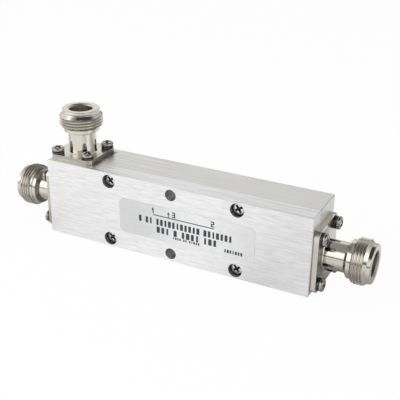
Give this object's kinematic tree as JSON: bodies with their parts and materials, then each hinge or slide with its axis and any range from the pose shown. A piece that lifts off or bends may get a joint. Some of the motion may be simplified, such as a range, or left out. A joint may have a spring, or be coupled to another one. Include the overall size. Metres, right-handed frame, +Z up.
{
  "type": "directional coupler",
  "caption": "Rectangular aluminium bar with a threaded coaxial jack on each end and a coupled port on top, which taps a sample of the signal passing through.",
  "frame": {"origin": "middle of the bar's base", "axes": "+X from the input jack to the output jack, +Y from the front cover to the back, +Z up through the coupled port"},
  "size_m": [0.1392, 0.0211, 0.0473],
  "materials": {
    "housing": "fine brushed",
    "cover": "brushed along the length",
    "screw_steel": "plain",
    "washer_steel": "plain",
    "label": "matte foil",
    "jack_shell": "bright nickel plated",
    "insulator": "satin",
    "contact": "gold plated",
    "line": "turned",
    "ceramic": "matte ceramic"
  },
  "bodies": {
    "root": {"housing": "housing", "cover": "cover", "cover_screws": "screw_steel", "label": "label", "input_shell": "jack_shell", "input_insulator": "insulator", "input_contact": "contact", "input_screws": "screw_steel", "input_washers": "washer_steel", "output_shell": "jack_shell", "output_insulator": "insulator", "output_contact": "contact", "output_screws": "screw_steel", "output_washers": "washer_steel", "coupled_shell": "jack_shell", "coupled_insulator": "insulator", "coupled_contact": "contact", "coupled_screws": "screw_steel", "coupled_washers": "washer_steel", "main_line": "line", "coupled_line": "line", "line_spacers": "insulator", "load_resistor": "ceramic", "load_caps": "washer_steel", "load_post": "line", "load_screw": "screw_steel"}
  },
  "joints": []
}
